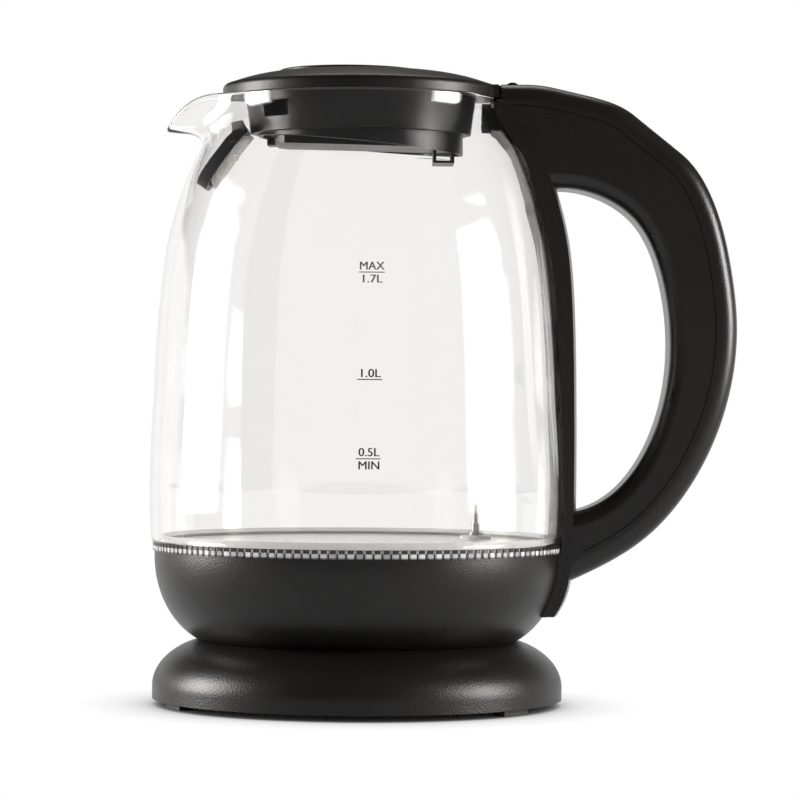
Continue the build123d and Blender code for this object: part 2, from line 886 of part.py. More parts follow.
def make_strainer_mesh():
    """A thin arched sheet that bellies from the frame into the jug."""
    half = strainer_width / 2 - strainer_bar - fit_gap
    reach = strainer_length / 2 - strainer_bar - fit_gap
    middle = Plane(strainer_plane.origin, x_dir=(0, 1, 0), z_dir=strainer_plane.y_dir)
    arch = ThreePointArc((-half, 0), (0, mesh_sag), (half, 0))
    thin = half - mesh_thickness
    under = ThreePointArc((thin, 0), (0, mesh_sag - mesh_thickness), (-thin, 0))
    feet = [Line(arch @ 1, under @ 0), Line(under @ 1, arch @ 0)]
    sheet = extrude(middle * make_face([arch, feet[0], under, feet[1]]), reach, both=True)
    hole = RectangleRounded(2 * half, 2 * reach, strainer_corner - strainer_bar - fit_gap)
    return sheet & extrude(strainer_plane * hole, far, both=True)


# Places on the back of the jug

strap_back_x = shell_radius_at(lower_root_z) + strap_thickness / 2
palm_top_x = jug_radius_at(palm_top_z) + strap_thickness
hinge_slot_back_x = hinge_x + hinge_slot_depth
head_back_x = hinge_slot_back_x + handle_wall
handle_screw_heights = (handle_screw_low_z, handle_screw_high_z)
bush_end_x = neck_radius + strap_thickness + bush_flange_thickness
shelf_drop = -button_height - button_spring_room
latch_out = thumb_plane.to_local_coords(Vector(hinge_x, 0, hinge_z)).Z
hinge_place = thumb_plane.to_local_coords(Vector(hinge_x, 0, hinge_z)).X
latch_start = hinge_place + knuckle_radius + latch_hinge_gap
switch_x = shell_radius_at(switch_z) + strap_thickness + fit_gap - switch_pivot_depth
switch_pin_half = switch_half_width + switch_pin_seat
lever_sweep = (switch_x - shell_radius_at(switch_z) + 2 * shell_wall) * sin(radians(switch_swing))
skirt_flange_radius = lid_radius - lid_wall - running_gap
skirt_floor_z = skirt_bottom_z + skirt_wall
box_top_z = skirt_bottom_z - box_slot_height


# Strap


def strap_solid(growth, half_width):
    """Everything inside the strap's outer face, moved outwards, from its foot to its top."""
    points = []
    for z in (strap_foot_z, (strap_foot_z + shell_bend_z) / 2, shell_bend_z):
        points.append((shell_radius_at(z) + strap_thickness + fit_gap + growth, z))
    for z in (belly_z, waist_z, upper_z, shoulder_z, slope_z, turn_z):
        share = (z - belly_z) / (slope_z - belly_z)
        thickness = strap_belly_thickness + share * (strap_slope_thickness - strap_belly_thickness)
        points.append((jug_radius_at(z) + thickness + fit_gap + growth, z))
    edge = Spline(*[flat_point(r, z) for r, z in points])
    neck = neck_radius + strap_thickness + fit_gap + growth
    sides = Polyline(
        edge @ 1,
        flat_point(neck, neck_z),
        flat_point(neck, strap_top_z),
        flat_point(0, strap_top_z),
        flat_point(0, strap_foot_z),
        edge @ 0,
    )
    solid = revolve(make_face([edge, sides]), Axis.Z)
    return solid & block(0, far, half_width, strap_foot_z, strap_top_z)


def glass_room():
    """The space that glass, sealing ring and shell fill, with a fitting gap round it."""
    room = jug_solid(fit_gap) + bowl_solid(-fit_gap, shell_top_z)
    return room + disc(glass_foot_radius + fit_gap, shell_top_z, glass_foot_z)


def make_back_strap():
    strap = strap_solid(-strap_step, strap_half_width) + strap_solid(0, handle_half_width)
    strap -= glass_room()
    strap -= switch_window()
    strap -= rod(switch_x, switch_z, switch_pin_radius + pin_gap, -switch_pin_half, switch_pin_half)
    for z in handle_screw_heights:
        strap -= screw_boss(z, screw_shank_radius + fit_gap, handle_screw_length)
        strap -= Pos(-far, 0, 0) * screw_boss(z, screw_head_radius + fit_gap, far)
    return strap - bush_solid(bush_shank_radius + fit_gap, 0, far)


# Handle


def handle_outline():
    """The handle's side outline: two long curves joined inside the strap."""
    outer = [
        Line(flat_point(head_front_x, head_top_z), flat_point(hinge_slot_back_x, head_top_z)),
        Spline(
            flat_point(hinge_slot_back_x, head_top_z),
            flat_point(brow_x, brow_z),
            flat_point(flat_start_x, flat_start_z),
            tangents=[(1, 0, 0), flat_along],
        ),
        Line(flat_point(flat_start_x, flat_start_z), flat_point(flat_end_x, flat_end_z)),
        Spline(
            flat_point(flat_end_x, flat_end_z),
            *[flat_point(shell_radius + out, up) for out, up in knuckle_line],
            flat_point(strap_back_x, lower_root_z),
            tangents=[flat_along, (-1, 0, -lower_root_slope)],
            tangent_scalars=[1, 1],
        ),
    ]
    inner = Spline(
        flat_point(strap_back_x, palm_bottom_z),
        *[flat_point(shell_radius + out, up) for out, up in palm_line],
        flat_point(palm_top_x, palm_top_z),
    )
    back = Polyline(
        flat_point(palm_top_x, palm_top_z),
        flat_point(head_front_x, palm_top_z),
        flat_point(head_front_x, head_top_z),
    )
    low = Polyline(
        flat_point(strap_back_x, lower_root_z),
        flat_point(strap_back_x, palm_bottom_z),
    )
    return outer, inner, back, low


def handle_face():
    """The whole handle seen from the side."""
    outer, inner, back, low = handle_outline()
    return make_face([*outer, low, inner, back])


def rounded_handle():
    """The handle as one block with rounded long edges, cut off at the strap's outer face."""
    solid = across(handle_face(), handle_half_width)
    outer, inner, _, _ = handle_outline()
    for curves, radius in ((outer, handle_outer_round), ([inner], handle_inner_round)):
        edges = [
            edge
            for edge in solid.edges()
            if abs(abs(edge.center().Y) - handle_half_width) < pin_gap
            and any(abs(edge.length - curve.length) < pin_gap for curve in curves)
        ]
        solid = fillet(edges, radius)
    return solid - strap_solid(0, far)


def inside_line(edges, depth):
    """A curve that runs beside a chain of the handle's edges, this deep inside it."""
    chain = Wire(edges)
    points = []
    for i in range(line_points + 1):
        way = chain % (i / line_points)
        points.append(chain @ (i / line_points) + Vector(way.Z, 0, -way.X) * depth)
    return Spline(*points)


def handle_hollow():
    """The space inside the handle, a wall away from its faces and from the strap."""
    outer, inner, _, _ = handle_outline()
    far_line = inside_line(outer, handle_wall)
    near_line = inside_line([inner], handle_wall)
    ends = [Line(far_line @ 1, near_line @ 0), Line(near_line @ 1, far_line @ 0)]
    space = across(make_face([far_line, ends[0], near_line, ends[1]]), handle_half_width - handle_wall)
    space -= strap_solid(handle_wall, far)
    return space & block(head_back_x, far, far, 0, far)


def grip_side():
    """The space inside the seam, which runs a cover's depth under the handle's outer line."""
    seam = inside_line(handle_outline()[0], cover_depth)
    sides = Polyline(seam @ 1, flat_point(0, (seam @ 1).Z), flat_point(0, (seam @ 0).Z), seam @ 0)
    return across(make_face([seam, sides]), far)


def hinge_slot():
    """The slot in the handle's head that the lid's knuckles turn in."""
    return block(0, hinge_slot_back_x, knuckle_outer_y + running_gap, hinge_slot_floor_z, far)


def screw_boss(z, radius, length):
    """A cylinder along a handle screw, from the strap's inner face outwards."""
    start = handle_screw_seat(z)
    return Pos(start, 0, z) * Rot(0, 90, 0) * Cylinder(radius, length, align=upright)


def handle_screw_seat(z):
    """Where a handle screw's head bears on the strap."""
    return jug_radius_at(z - screw_head_radius) + 2 * fit_gap + screw_head_height


def handle_screw_holes():
    """Room for the shanks of the screws that hold the handle on the strap."""
    radius = screw_shank_radius + pin_gap
    low, high = (screw_boss(z, radius, handle_screw_length) for z in handle_screw_heights)
    return low + high


def make_handle_grip():
    steam_way = bush_solid(bush_shank_radius + fit_gap, 0, bush_end_x)
    steam_way += bush_solid(bush_bore_radius, 0, head_back_x + handle_wall)
    whole = rounded_handle() & grip_side()
    grip = whole - steam_way - handle_hollow()
    for z in handle_screw_heights:
        grip += screw_boss(z, boss_radius, handle_screw_length + boss_wall) & whole
    side = handle_half_width - handle_wall / 2
    start = button_spring_offset - shelf_length / 2
    grip += thumb_block(start, start + shelf_length, side, shelf_drop - shelf_thickness, shelf_drop)
    half = guide_thickness / 2
    rib = thumb_block(guide_place - half, guide_place + half, side, -far, -cover_depth - cover_rib_gap)
    grip += rib & whole
    return grip - latch_room() - handle_screw_holes()


def make_handle_cover():
    cover = rounded_handle() - grip_side() - handle_hollow() - hinge_slot() - latch_room()
    cover -= rod(hinge_x, hinge_z, hinge_pin_radius + pin_gap, -hinge_pin_half_length, hinge_pin_half_length)
    half = button_length / 2 + running_gap
    depth = cover_depth + button_travel
    return cover - thumb_block(-half, half, button_half_width + running_gap, -depth, far)


def make_handle_screws():
    screws = []
    length = handle_screw_length - bore_spare
    for z in handle_screw_heights:
        one = screw(screw_shank_radius, screw_head_radius, screw_head_height, length)
        screws.append(Pos(handle_screw_seat(z), 0, z) * Rot(0, 90, 0) * one)
    return screws


# Steam bush


def bush_solid(radius, x0, x1):
    """A cylinder along the steam's way out of the neck."""
    return Pos((x0 + x1) / 2, 0, bush_z) * Rot(0, 90, 0) * Cylinder(radius, x1 - x0)


def make_steam_bush():
    inner = neck_radius - glass_wall
    bush = bush_solid(bush_shank_radius, inner - bush_flange_thickness, bush_end_x)
    flange = bush_solid(bush_flange_radius, inner - bush_flange_thickness, inner)
    bush += flange & disc(inner, 0, far)
    return bush - bush_solid(bush_bore_radius, 0, far)


# Lid


def lid_solid(inset):
    """Everything under the lid's dome, drawn in by a wall."""
    radius = lid_radius - inset
    top = flat_point(radius - lid_flat_inset, lid_flat_z - inset)
    slope = flat_point(radius - lid_slope_inset, lid_slope_z - inset)
    shoulder = flat_point(radius - lid_shoulder_inset, lid_shoulder_z - inset)
    rim = flat_point(radius, lid_rim_z - inset)
    return turned_face(
        ThreePointArc(top, slope, shoulder),
        TangentArc(rim, shoulder, tangent=(0, 0, 1)),
        Polyline(
            rim,
            flat_point(radius, lid_bottom_z),
            flat_point(0, lid_bottom_z),
            flat_point(0, lid_flat_z - inset),
            top,
        ),
    )


def lid_knuckles():
    """The two knuckles that join the lid's back edge to the hinge pin."""
    plate_top = hinge_z + knuckle_plate_rise
    plate = block(lid_back_x - lid_wall, hinge_x, knuckle_outer_y, knuckle_plate_z, plate_top)
    barrel = rod(hinge_x, hinge_z, knuckle_radius, -knuckle_outer_y, knuckle_outer_y)
    gap = block(lid_back_x, far, knuckle_inner_y, 0, far)
    bore = rod(hinge_x, hinge_z, hinge_pin_radius + pin_gap, -far, far)
    return plate + barrel - gap - bore


def lid_screw_places(piece):
    """Copies of a piece at the lid's screws."""
    return around(Pos(lid_screw_circle, 0, 0) * piece, 4, lid_screw_angle)


def make_lid_cover():
    cover = lid_solid(0) - lid_solid(lid_wall)
    back = block(skirt_top_radius + fit_gap, lid_back_x, lid_tab_half_width, lid_bottom_z, lid_tab_z)
    cover += back - disc(skirt_flange_radius + fit_gap, 0, lid_bottom_z + skirt_flange_thickness)
    cover += lid_knuckles()
    for one in lid_screw_places(disc(boss_radius, skirt_floor_z, lid_flat_z)):
        cover += one & lid_solid(0) + disc(lid_radius, 0, lid_bottom_z)
    bore = disc(screw_shank_radius + pin_gap, skirt_floor_z, skirt_floor_z + lid_screw_length)
    for one in lid_screw_places(bore):
        cover -= one
    return cover


def make_lid_cap():
    cap = disc(cap_radius, lid_flat_z, lid_flat_z + cap_thickness, cap_x)
    return fillet(cap.edges().group_by(Axis.Z)[-1], cap_round)


def make_lid_skirt():
    wall = turned(
        (skirt_bottom_radius - skirt_wall, skirt_bottom_z),
        (skirt_bottom_radius, skirt_bottom_z),
        (skirt_top_radius, lid_bottom_z),
        (skirt_top_radius - skirt_wall, lid_bottom_z),
    )
    window = Pos(0, 0, skirt_floor_z + window_sill) * extrude(
        make_face(
            Polyline(
                (0, 0),
                *[
                    (-lid_radius * cos(radians(angle)), lid_radius * sin(radians(angle)))
                    for angle in (window_start_angle, window_end_angle)
                ],
                close=True,
            )
        ),
        lid_bottom_z - skirt_floor_z - window_sill - window_head,
    )
    wall -= window + mirror(window, Plane.XZ)
    flange_top = lid_bottom_z + skirt_flange_thickness
    flange = ring(skirt_flange_radius, skirt_top_radius - skirt_wall, lid_bottom_z, flange_top)
    floor = disc(skirt_bottom_radius - skirt_wall / 2, skirt_bottom_z, skirt_floor_z)
    vent = block(box_back_x / 2, box_back_x - box_wall, box_vent_half_width, 0, far)
    drum = ring(drum_radius, drum_radius - drum_wall, skirt_bottom_z - drum_back_drop, skirt_bottom_z)
    slope = across(
        outline(
            (-far, skirt_bottom_z),
            (-drum_radius, skirt_bottom_z - drum_front_drop),
            (drum_radius, skirt_bottom_z - drum_back_drop),
            (far, skirt_bottom_z - drum_back_drop),
            (far, 0),
            (-far, 0),
        ),
        far,
    )
    liner = ring(liner_radius, liner_radius - skirt_wall, skirt_floor_z, lid_bottom_z)
    skirt = wall + flange + (floor - vent) + (drum - slope) + liner
    for one in lid_screw_places(disc(screw_shank_radius + fit_gap, 0, skirt_floor_z)):
        skirt -= one
    return skirt


def make_lid_screws():
    one = screw(screw_shank_radius, screw_head_radius, screw_head_height, lid_screw_length)
    return lid_screw_places(Pos(0, 0, skirt_bottom_z) * one)


def make_steam_tray():
    """A shallow sloping tray on four posts under the skirt's floor, with a cup under its back end."""
    radius = drum_radius - drum_wall - running_gap
    sides = outline(
        (box_front_x, box_front_z),
        (box_back_x, box_back_z),
        (box_back_x, box_top_z),
        (box_front_x, box_top_z),
    )
    hollow = outline(
        (box_front_x + box_wall, box_front_z + box_wall),
        (box_back_x - box_wall, box_back_z + box_wall),
        (box_back_x - box_wall, far),
        (box_front_x + box_wall, far),
    )
    tray = across(sides, box_half_width) & disc(radius, 0, far)
    tray -= across(hollow, box_half_width - box_wall) & disc(radius - box_wall, 0, far)
    for x in (box_front_x + post_inset, box_back_x - post_inset - cup_length):
        for y in (box_half_width - box_wall, box_wall - box_half_width):
            tray += Pos(0, y, 0) * block(x - box_wall, x + box_wall, box_wall, box_front_z, skirt_bottom_z)
    cup_start = box_back_x - cup_length
    tray += block(cup_start, box_back_x, cup_half_width, cup_bottom_z, box_back_z + box_wall)
    tray -= block(cup_start + box_wall, box_back_x - box_wall, far, cup_bottom_z + box_wall, box_back_z)
    return tray + block(box_front_x - nose_length, box_front_x, nose_half_width, box_front_z, box_top_z)


# Hinge


def make_hinge_pin():
    return rod(hinge_x, hinge_z, hinge_pin_radius, -hinge_pin_half_length, hinge_pin_half_length)


def make_lid_spring():
    spring = coil(
        spring_coil_radius,
        lid_spring_pitch,
        lid_spring_turns,
        spring_wire_radius,
        lid_spring_leg,
        "lid_spring",
    )
    height = lid_spring_pitch * lid_spring_turns
    return Pos(hinge_x, 0, hinge_z) * Rot(90, 0, 0) * Rot(0, 0, 180) * Pos(0, 0, -height / 2) * spring


# Release button and latch


def thumb_block(along0, along1, half_width, out0, out1):
    """A box laid along the thumb flat."""
    place = thumb_plane * Pos((along0 + along1) / 2, 0, (out0 + out1) / 2)
    return place * Box(along1 - along0, 2 * half_width, out1 - out0)


def thumb_piece(half_width, *points):
    """A straight-sided outline of places along and out of the thumb flat, drawn out to both sides."""
    corners = [thumb_plane.from_local_coords(Vector(along, 0, out)) for along, out in points]
    return across(make_face(Polyline(*corners, close=True)), half_width)


def make_release_button():
    foot_z = -button_height - button_foot_drop
    button = thumb_block(-button_length / 2, button_length / 2, button_half_width, -button_height, 0)
    return button + thumb_piece(
        button_foot_half_width,
        (button_foot_left, -button_height),
        (button_foot_left, foot_z),
        (button_foot_right - button_foot_slope, foot_z),
        (button_foot_right, foot_z + button_foot_slope),
        (button_foot_right, -button_height),
    )


def make_latch_slider():
    """A bar with a nose behind the lid's knuckles and a wedge under the slope of the button's foot."""
    low = latch_out - latch_height / 2
    high = latch_out + latch_height / 2
    gap = running_gap / sqrt(2)
    slope_foot = button_foot_right - button_foot_slope + gap
    slope_low = -button_height - button_foot_drop - gap
    slider = thumb_block(latch_start, latch_start + latch_nose_length, latch_nose_half_width, low, high)
    return slider + thumb_piece(
        latch_half_width,
        (latch_start, low),
        (latch_end, low),
        (latch_end, wedge_top),
        (slope_foot + wedge_top - slope_low, wedge_top),
        (slope_foot, slope_low),
        (slope_foot, high),
        (latch_start, high),
    )


def latch_room():
    """The slot that the latch slides in, with a running gap round it."""
    low = latch_out - latch_height / 2 - running_gap
    high = latch_out + latch_height / 2 + running_gap
    nose_end = latch_start + latch_nose_length + button_travel + running_gap
    bar_end = latch_end + button_travel + running_gap
    bar = thumb_block(hinge_place, bar_end, latch_half_width + running_gap, low, high)
    return bar + thumb_block(hinge_place, nose_end, latch_nose_half_width + running_gap, low, high)


def make_button_spring():
    height = -button_height - shelf_drop - 2 * spring_wire_radius
    pitch = height / button_spring_turns
    spring = coil(
        button_spring_radius,
        pitch,
        button_spring_turns,
        spring_wire_radius,
        2 * spring_wire_radius,
        "button_spring",
    )
    return thumb_plane * Pos(button_spring_offset, 0, shelf_drop + spring_wire_radius) * spring


# Power switch


def switch_window():
    """The window in the strap that the switch rocks in."""
    return block(
        control_radius,
        far,
        switch_half_width + running_gap,
        switch_z - switch_half_height - switch_gap,
        switch_z + switch_half_height + switch_gap,
    )


def make_power_switch():
    paddle = strap_solid(0, switch_half_width) & block(
        switch_x, far, switch_half_width, switch_z - switch_half_height, switch_z + switch_half_height
    )
    barrel = rod(switch_x, switch_z, switch_barrel_radius, -switch_half_width, switch_half_width)
    half = switch_arm_height / 2
    arm = block(switch_arm_end_x, switch_x, switch_arm_half_width, switch_z - half, switch_z + half)
    return paddle + barrel + arm - rod(switch_x, switch_z, switch_pin_radius + pin_gap, -far, far)


def make_switch_pin():
    return rod(switch_x, switch_z, switch_pin_radius, -switch_pin_half, switch_pin_half)


def write(name, piece):
    """Write one node, which may be a group of separate solids."""
    shape = Compound(children=list(piece)) if isinstance(piece, list) else piece
    export_step(shape, os.path.join("parts", name + ".step"))


nodes = {
    "base_cover": make_base_cover,
    "base_plate": make_base_plate,
    "base_feet": make_base_feet,
    "base_screws": make_base_screws,
    "cord_gland": make_cord_gland,
    "connector_tower": make_connector_tower,
    "centre_contact": make_centre_contact,
    "slip_ring": make_slip_ring,
    "lower_shell": make_lower_shell,
    "hatch_cover": make_hatch_cover,
    "hatch_screws": make_hatch_screws,
    "socket_body": make_socket,
    "socket_pin": make_socket_pin,
    "socket_ring": make_socket_ring,
    "control_unit": make_control_unit,
    "bimetal_disc": make_bimetal_disc,
    "heater_plate": make_heater_plate,
    "heat_spreader": make_heat_spreader,
    "heater_tube": make_heater_tube,
    "element_terminals": make_element_terminals,
    "element_leads": make_element_leads,
    "plate_studs": make_plate_studs,
    "stud_nuts": make_stud_nuts,
    "probe_seal": make_probe_seal,
    "temperature_probe": make_temperature_probe,
    "probe_nut": make_probe_nut,
    "seal_ring": make_seal_ring,
    "glass_jug": make_glass_jug,
    "strainer_frame": make_strainer_frame,
    "strainer_mesh": make_strainer_mesh,
    "back_strap": make_back_strap,
    "handle_grip": make_handle_grip,
    "handle_cover": make_handle_cover,
    "handle_screws": make_handle_screws,
    "steam_bush": make_steam_bush,
    "lid_cover": make_lid_cover,
    "lid_cap": make_lid_cap,
    "lid_skirt": make_lid_skirt,
    "lid_screws": make_lid_screws,
    "steam_tray": make_steam_tray,
    "hinge_pin": make_hinge_pin,
    "lid_spring": make_lid_spring,
    "release_button": make_release_button,
    "button_spring": make_button_spring,
    "latch_slider": make_latch_slider,
    "power_switch": make_power_switch,
    "switch_pin": make_switch_pin,
}

os.makedirs("parts", exist_ok=True)
for node_name, make in nodes.items():
    write(node_name, make())
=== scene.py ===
import json
import math
from functools import partial

import bpy
import numpy as np
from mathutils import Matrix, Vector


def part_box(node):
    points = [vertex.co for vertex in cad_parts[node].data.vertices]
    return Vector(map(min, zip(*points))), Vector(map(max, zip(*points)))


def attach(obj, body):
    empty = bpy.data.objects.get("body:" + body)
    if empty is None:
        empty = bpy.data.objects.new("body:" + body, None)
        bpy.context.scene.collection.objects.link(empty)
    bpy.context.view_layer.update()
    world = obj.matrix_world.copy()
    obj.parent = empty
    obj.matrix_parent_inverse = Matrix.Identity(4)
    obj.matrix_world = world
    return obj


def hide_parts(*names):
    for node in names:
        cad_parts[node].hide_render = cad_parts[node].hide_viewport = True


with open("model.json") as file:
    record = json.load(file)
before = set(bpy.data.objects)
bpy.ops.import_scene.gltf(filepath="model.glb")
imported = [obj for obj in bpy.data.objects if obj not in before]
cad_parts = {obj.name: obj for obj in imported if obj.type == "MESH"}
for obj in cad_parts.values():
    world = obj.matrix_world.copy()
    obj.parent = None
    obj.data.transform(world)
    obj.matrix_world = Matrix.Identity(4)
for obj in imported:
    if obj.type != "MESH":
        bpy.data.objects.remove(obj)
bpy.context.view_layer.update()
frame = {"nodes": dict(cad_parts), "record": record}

MM = 0.001

# Glass jug: outer outline as radius and height in millimetres, from the foot to the rim
JUG_OUTLINE = np.array(
    [
        (78.7, 61.9),
        (79.3, 70.0),
        (79.5, 82.0),
        (79.1, 100.0),
        (78.3, 115.0),
        (77.4, 136.0),
        (76.0, 154.0),
        (74.5, 167.5),
        (73.0, 177.0),
        (70.7, 186.0),
        (68.0, 195.0),
        (64.3, 204.4),
        (60.4, 213.0),
        (57.9, 217.3),
        (55.7, 220.6),
        (54.1, 223.4),
        (53.2, 226.4),
        (53.0, 230.2),
    ]
)
# The middle line of the spout, from the jug's shoulder to the tip of the beak
SPOUT_OUTLINE = np.array(
    [
        (64.3, 204.4),
        (61.3, 209.6),
        (60.2, 212.8),
        (61.6, 215.4),
        (65.0, 216.8),
        (69.2, 217.2),
        (73.0, 217.6),
    ]
)
SPOUT_START = 204.4
SPOUT_SPREAD = math.radians(9.5)
GLASS_WALL = 3.0
RIM_WALL = 2.2
# The wall thins between these heights below and above the spout's start
WALL_THINS = (SPOUT_START - 16.0, SPOUT_START + 10.0)
# How many points the skin has up the plain jug and up the spout, and round the rim's half circle
JUG_ROWS = 150
SPOUT_ROWS = 56
RIM_ROWS = 7
# The skin's columns lie closer together within this angle of the spout
SPOUT_SECTOR = 0.7
SPOUT_COLUMNS = 121
OTHER_COLUMNS = 199
# How far the print stands off the glass, how far each strike of a word is from its middle, and a line's height
PRINT_LIFT = 0.06
SECOND_LIFT = 0.07
BOLD_STEP = 0.09
LINE_HEIGHT = 0.36
LINE_POINTS = 13
# The strainer: the middle of its frame's top and bottom edges, how far inside them the wires end, the
# rounding of its corners, its belly, and the wires
STRAINER_TOP = np.array([-43.5, 0.0, 219.7])
STRAINER_BOTTOM = np.array([-60.5, 0.0, 196.0])
STRAINER_EDGE = 2.35
STRAINER_CORNER = 8.6
STRAINER_BELLY = 4.8
WIRE_RADIUS = 0.16
LONG_WIRES = 23
LONG_WIRE_REACH = 0.94
LONG_WIRE_POINTS = 29
SHORT_WIRES = 25
SHORT_WIRE_POINTS = 25
# The joint between the halves of the handle: the middle of the finger gap, how far out the joint starts
# above and below it, the strip's width, how far the halves' corners may be apart along it, how near the
# side's flat they lie, how far the strip stands off, and how many points it has
FINGER_GAP = (98.0, 140.0)
JOINT_ENDS = (56.5, 82.0)
JOINT_WIDTH = 0.5
JOINT_REACH = 6.0
SIDE_SLACK = 0.02
JOINT_LIFT = 0.03
JOINT_POINTS = 240
# The seal, in metres as its material reads them: where its outer face begins, the middle of that face and
# how far from it the face's edges are, where painted shade lies, the height between the upper half of its ribs,
# with broad painted shade, and the lower half, with thin painted shade and painted glints, and the foot of its
# lip, where a painted shadow lies
SEAL_RIBS = 150
SEAL_FACE_RADIUS = 0.0773
SEAL_FACE_MIDDLE = 0.0603
SEAL_FACE_HALF = 0.0013
SEAL_SPLIT = 0.0604
SEAL_LIP_FOOT = (0.06185, 0.0630)
# Shares of a rib's pitch, from its middle: the dash of painted shade above, and where the notch of painted
# shade below begins. Then how strong the painted shade on the face's edges and the painted shadow at the lip's
# foot are, and how bright the dimmest painted glint is
PAINTED_DASH_SHARE = 0.33
PAINTED_NOTCH_SHARE = 0.4
EDGE_SHADE = 0.72
FOOT_SHADE = 0.7
DIMMEST_PAINTED_GLINT = 0.45


# Meshes


def add_piece(name, points, faces, body, smooth=True):
    """A mesh object at the origin from an array of points in metres and an array of faces."""
    mesh = bpy.data.meshes.new(name)
    mesh.from_pydata(points.tolist(), [], faces.tolist())
    mesh.polygons.foreach_set("use_smooth", np.full(len(mesh.polygons), smooth))
    mesh.update()
    piece = bpy.data.objects.new(name, mesh)
    bpy.context.scene.collection.objects.link(piece)
    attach(piece, body)
    return piece


def grid_faces(rows, columns, wrap_rows=False, wrap_columns=False):
    """Quads of a grid whose points are numbered row by row, closed on itself where it wraps."""
    row_ends = rows if wrap_rows else rows - 1
    column_ends = columns if wrap_columns else columns - 1
    i, j = np.meshgrid(np.arange(row_ends), np.arange(column_ends), indexing="ij")
    i, j = i.ravel(), j.ravel()
    up, right = (i + 1) % rows, (j + 1) % columns
    return np.stack([i * columns + j, i * columns + right, up * columns + right, up * columns + j], axis=1)


def smooth_line(points, count):
    """A smooth line through points: cubic pieces whose slope at each point is that of its neighbours' chord."""
    steps = np.linalg.norm(np.diff(points, axis=0), axis=1)
    at = np.concatenate([[0.0], np.cumsum(steps)])
    slopes = np.gradient(points, at, axis=0)
    t = np.linspace(0, at[-1], count)
    k = np.clip(np.searchsorted(at, t, side="right") - 1, 0, len(at) - 2)
    h = (at[k + 1] - at[k])[:, None]
    s = ((t - at[k]) / (at[k + 1] - at[k]))[:, None]
    return (
        (2 * s**3 - 3 * s**2 + 1) * points[k]
        + (s**3 - 2 * s**2 + s) * h * slopes[k]
        + (3 * s**2 - 2 * s**3) * points[k + 1]
        + (s**3 - s**2) * h * slopes[k + 1]
    )


def unit(vectors):
    """Vectors of length one along the last axis."""
    return vectors / np.linalg.norm(vectors, axis=-1, keepdims=True)


def jug_radius(z):
    """The jug's outer radius at heights in millimetres, away from the spout."""
    line = smooth_line(JUG_OUTLINE, 600)
    return np.interp(z, line[:, 1], line[:, 0])


def jug_outer(angles):
    """The jug's outer skin: the outline turned about the axis. Above the shoulder each point moves towards
    the spout's line by a bell curve of its angle from the spout, and its height by the cube of that bell."""
    line = smooth_line(JUG_OUTLINE, JUG_ROWS)
    lower = line[line[:, 1] < SPOUT_START]
    upper = smooth_line(JUG_OUTLINE[JUG_OUTLINE[:, 1] >= SPOUT_START], SPOUT_ROWS)
    beak = smooth_line(SPOUT_OUTLINE, SPOUT_ROWS)
    off = np.abs(angles % (2 * math.pi) - math.pi)
    bell = np.exp(-0.5 * (off / SPOUT_SPREAD) ** 2)[None, :]
    radius = upper[:, :1] + bell * (beak[:, :1] - upper[:, :1])
    height = upper[:, 1:] + bell**3 * (beak[:, 1:] - upper[:, 1:])
    radius = np.concatenate([np.repeat(lower[:, :1], len(angles), axis=1), radius])
    height = np.concatenate([np.repeat(lower[:, 1:], len(angles), axis=1), height])
    return np.stack([radius * np.cos(angles), radius * np.sin(angles), height], axis=-1)


def add_glass_jug():
    """The jug as one closed wall: the outer skin, a half-round rim, and the skin again a wall's thickness
    inside, where the wall thins from the shoulder to the rim."""
    fine = np.linspace(math.pi - SPOUT_SECTOR, math.pi + SPOUT_SECTOR, SPOUT_COLUMNS)
    rest = np.linspace(math.pi + SPOUT_SECTOR, 3 * math.pi - SPOUT_SECTOR, OTHER_COLUMNS + 2)[1:-1]
    angles = np.concatenate([fine, rest]) % (2 * math.pi)
    outer = jug_outer(angles)
    along = unit(np.gradient(outer, axis=0))
    ring = np.concatenate([outer[:, -1:], outer, outer[:, :1]], axis=1)
    around = ring[:, 2:] - ring[:, :-2]
    normal = unit(np.cross(around, along))
    wall = np.interp(outer[..., 2], WALL_THINS, (GLASS_WALL, RIM_WALL))[..., None]
    inner = outer - wall * normal
    middle = 0.5 * (outer[-1] + inner[-1])
    turn = np.linspace(0, math.pi, RIM_ROWS + 2)[1:-1, None, None]
    rim = middle + 0.5 * RIM_WALL * (np.cos(turn) * normal[-1] + np.sin(turn) * along[-1])
    skin = np.concatenate([outer, rim, inner[::-1]])
    rows, columns = skin.shape[:2]
    faces = grid_faces(rows, columns, True, True)
    return add_piece("jug_glass", skin.reshape(-1, 3) * MM, faces, "kettle")


def on_jug(x, z, lift=PRINT_LIFT):
    """Places flat points, in millimetres across and up, on the jug's front, a little outside the glass."""
    radius = jug_radius(z) + lift
    return np.stack([radius * np.sin(x / radius), -radius * np.cos(x / radius), z], axis=-1) * MM


